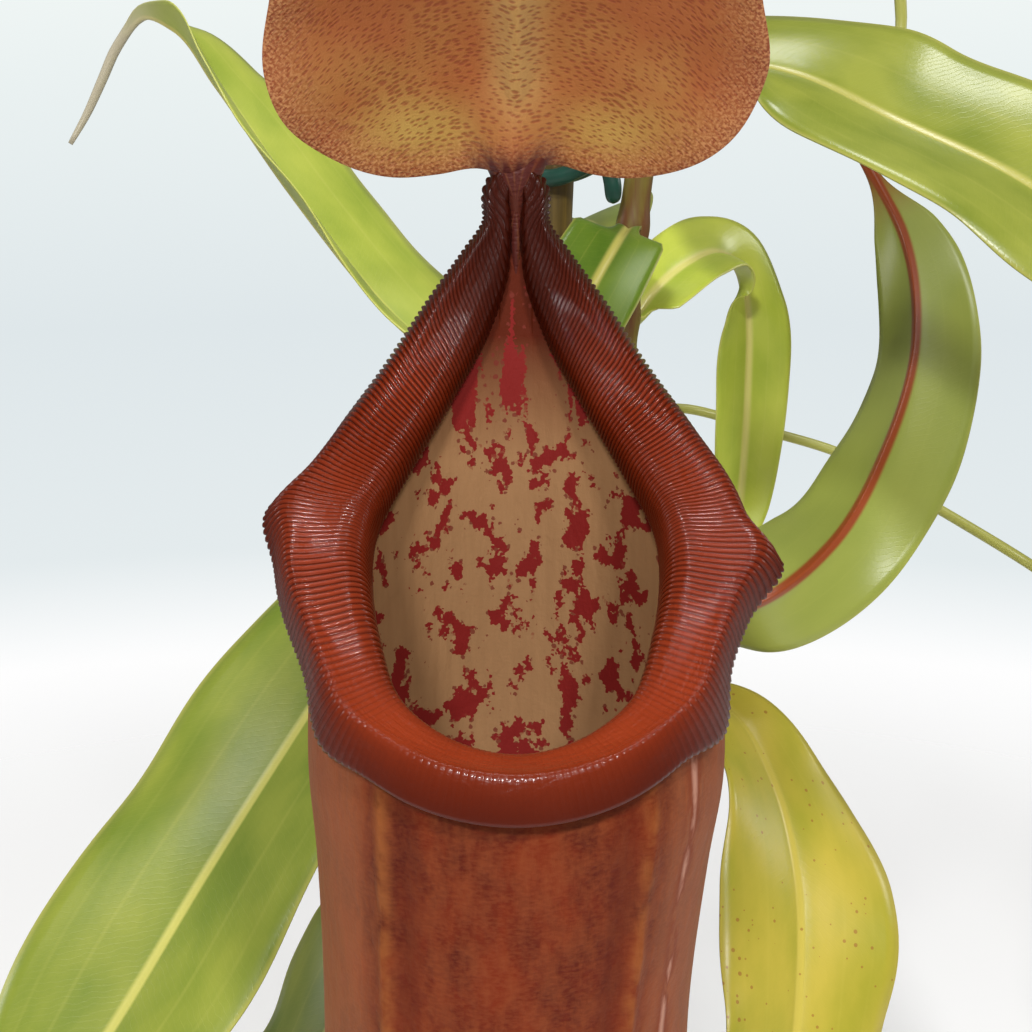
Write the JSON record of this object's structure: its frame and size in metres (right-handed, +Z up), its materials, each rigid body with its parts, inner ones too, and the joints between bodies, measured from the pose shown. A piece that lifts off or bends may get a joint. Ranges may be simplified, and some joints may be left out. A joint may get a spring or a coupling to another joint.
{
  "type": "potted tropical pitcher plant",
  "caption": "Tropical pitcher plant with hanging ribbed pitchers under lids and long arching leaves, tied to a cane in a plain round pot.",
  "frame": {"origin": "centre of the pot's flat underside, on the surface that it stands on", "axes": "+Z up; the large pitcher's mouth faces -Y, and +X is to the right as seen from the front"},
  "size_m": [0.3389, 0.2916, 0.5481],
  "materials": {
    "pot_plastic": "satin moulded plastic",
    "potting_mix": "loose bark, moss and grit",
    "bamboo": "dry, slightly shiny",
    "soft_tie": "smooth soft plastic",
    "stem_skin": "satin",
    "leaf_green": "satin, faintly veined",
    "leaf_yellow": "satin, with small red specks",
    "pitcher_skin": "velvety, blotched",
    "pitcher_collar": "glossy, finely ribbed",
    "pitcher_lid": "satin, speckled"
  },
  "bodies": {
    "root": {"pot": "pot_plastic", "potting_mix": "potting_mix", "cane": "bamboo", "stem": "stem_skin", "tie": "soft_tie", "leaf_low_right": "leaf_green", "leaf_low_front": "leaf_green", "leaf_low_left": "leaf_green", "leaf_low_back": "leaf_green", "leaf_mid_left": "leaf_green", "leaf_yellow": "leaf_yellow", "leaf_curled_right": "leaf_green", "leaf_back_left": "leaf_green", "leaf_front_left": "leaf_green", "leaf_back": "leaf_green", "leaf_carrier": "leaf_green", "leaf_strap": "leaf_green", "leaf_top_right": "leaf_green", "leaf_high_right": "leaf_green", "leaf_high_left": "leaf_green", "leaf_high_back": "leaf_green", "pitcher_tube": "pitcher_skin", "pitcher_collar": "pitcher_collar", "pitcher_lid": "pitcher_lid", "side_pitcher_tube": "pitcher_skin", "side_pitcher_collar": "pitcher_collar", "side_pitcher_lid": "pitcher_lid", "young_pitcher": "pitcher_skin"}
  },
  "joints": []
}
